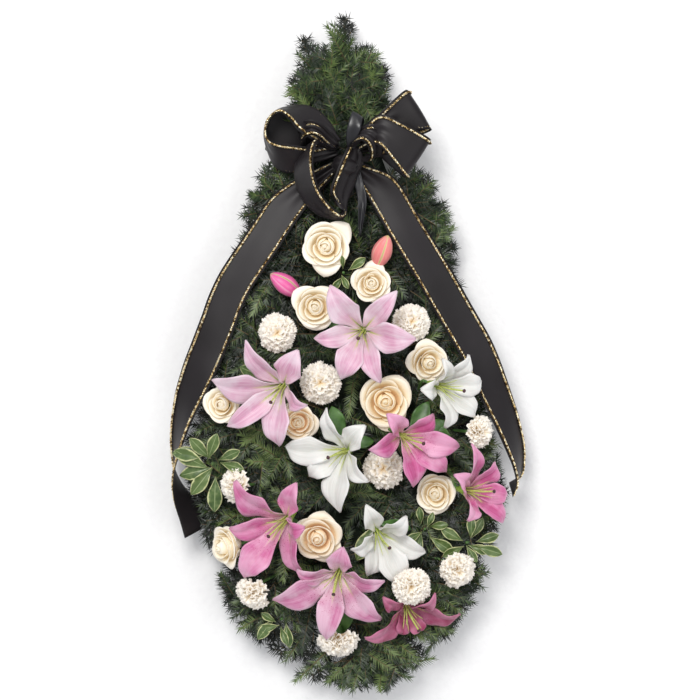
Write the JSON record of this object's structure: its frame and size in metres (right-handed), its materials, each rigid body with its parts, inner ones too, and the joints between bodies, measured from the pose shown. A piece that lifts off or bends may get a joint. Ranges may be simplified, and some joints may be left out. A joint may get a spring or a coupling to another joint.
{
  "type": "funeral wreath",
  "caption": "Drop-shaped funeral wreath of fir on foam, with lilies, roses, carnations, variegated sprigs and a black ribbon bow.",
  "frame": {"origin": "centre of the wreath's box, on the surface that its board lies on", "axes": "+X to the right of the wreath seen from its face, +Y towards its pointed top, +Z out of the board, towards the flowers"},
  "size_m": [0.527, 1.0318, 0.1883],
  "materials": {
    "board": "matt moulded tray",
    "foam": "crumbly green floral foam",
    "pick": "plain split wood",
    "satin_tie": "glossy satin",
    "ribbon": "soft satin with a gold cord along each edge",
    "lily_pink": "waxy petal",
    "lily_white": "waxy petal",
    "lily_bud": "waxy petal",
    "rose": "soft petal",
    "carnation": "soft petal",
    "sprig": "leathery leaf with a cream margin",
    "fir": "waxy needles on brown twigs"
  },
  "bodies": {
    "root": {"backing_board": "board", "floral_foam": "foam", "bow_pick": "pick", "satin_tie": "satin_tie", "ribbon_bow": "ribbon", "ribbon_tail_left": "ribbon", "ribbon_tail_right": "ribbon", "lily_pink_1": "lily_pink", "lily_pink_2": "lily_pink", "lily_pink_3": "lily_pink", "lily_pink_4": "lily_pink", "lily_pink_5": "lily_pink", "lily_pink_6": "lily_pink", "lily_pink_7": "lily_pink", "lily_white_1": "lily_white", "lily_white_2": "lily_white", "lily_white_3": "lily_white", "lily_bud_1": "lily_bud", "lily_bud_2": "lily_bud", "rose_1": "rose", "rose_2": "rose", "rose_3": "rose", "rose_4": "rose", "rose_5": "rose", "rose_6": "rose", "rose_7": "rose", "rose_8": "rose", "rose_9": "rose", "rose_10": "rose", "carnation_1": "carnation", "carnation_2": "carnation", "carnation_3": "carnation", "carnation_4": "carnation", "carnation_5": "carnation", "carnation_6": "carnation", "carnation_7": "carnation", "carnation_8": "carnation", "carnation_9": "carnation", "carnation_10": "carnation", "sprig_left": "sprig", "sprig_top": "sprig", "sprig_right": "sprig", "sprig_middle": "sprig", "sprig_foot": "sprig", "fir_top_middle": "fir", "fir_top_left": "fir", "fir_top_right": "fir", "fir_foot": "fir", "fir_left_1": "fir", "fir_left_2": "fir", "fir_left_3": "fir", "fir_left_4": "fir", "fir_left_5": "fir", "fir_left_6": "fir", "fir_right_1": "fir", "fir_right_2": "fir", "fir_right_3": "fir", "fir_right_4": "fir", "fir_right_5": "fir", "fir_right_6": "fir"}
  },
  "joints": []
}
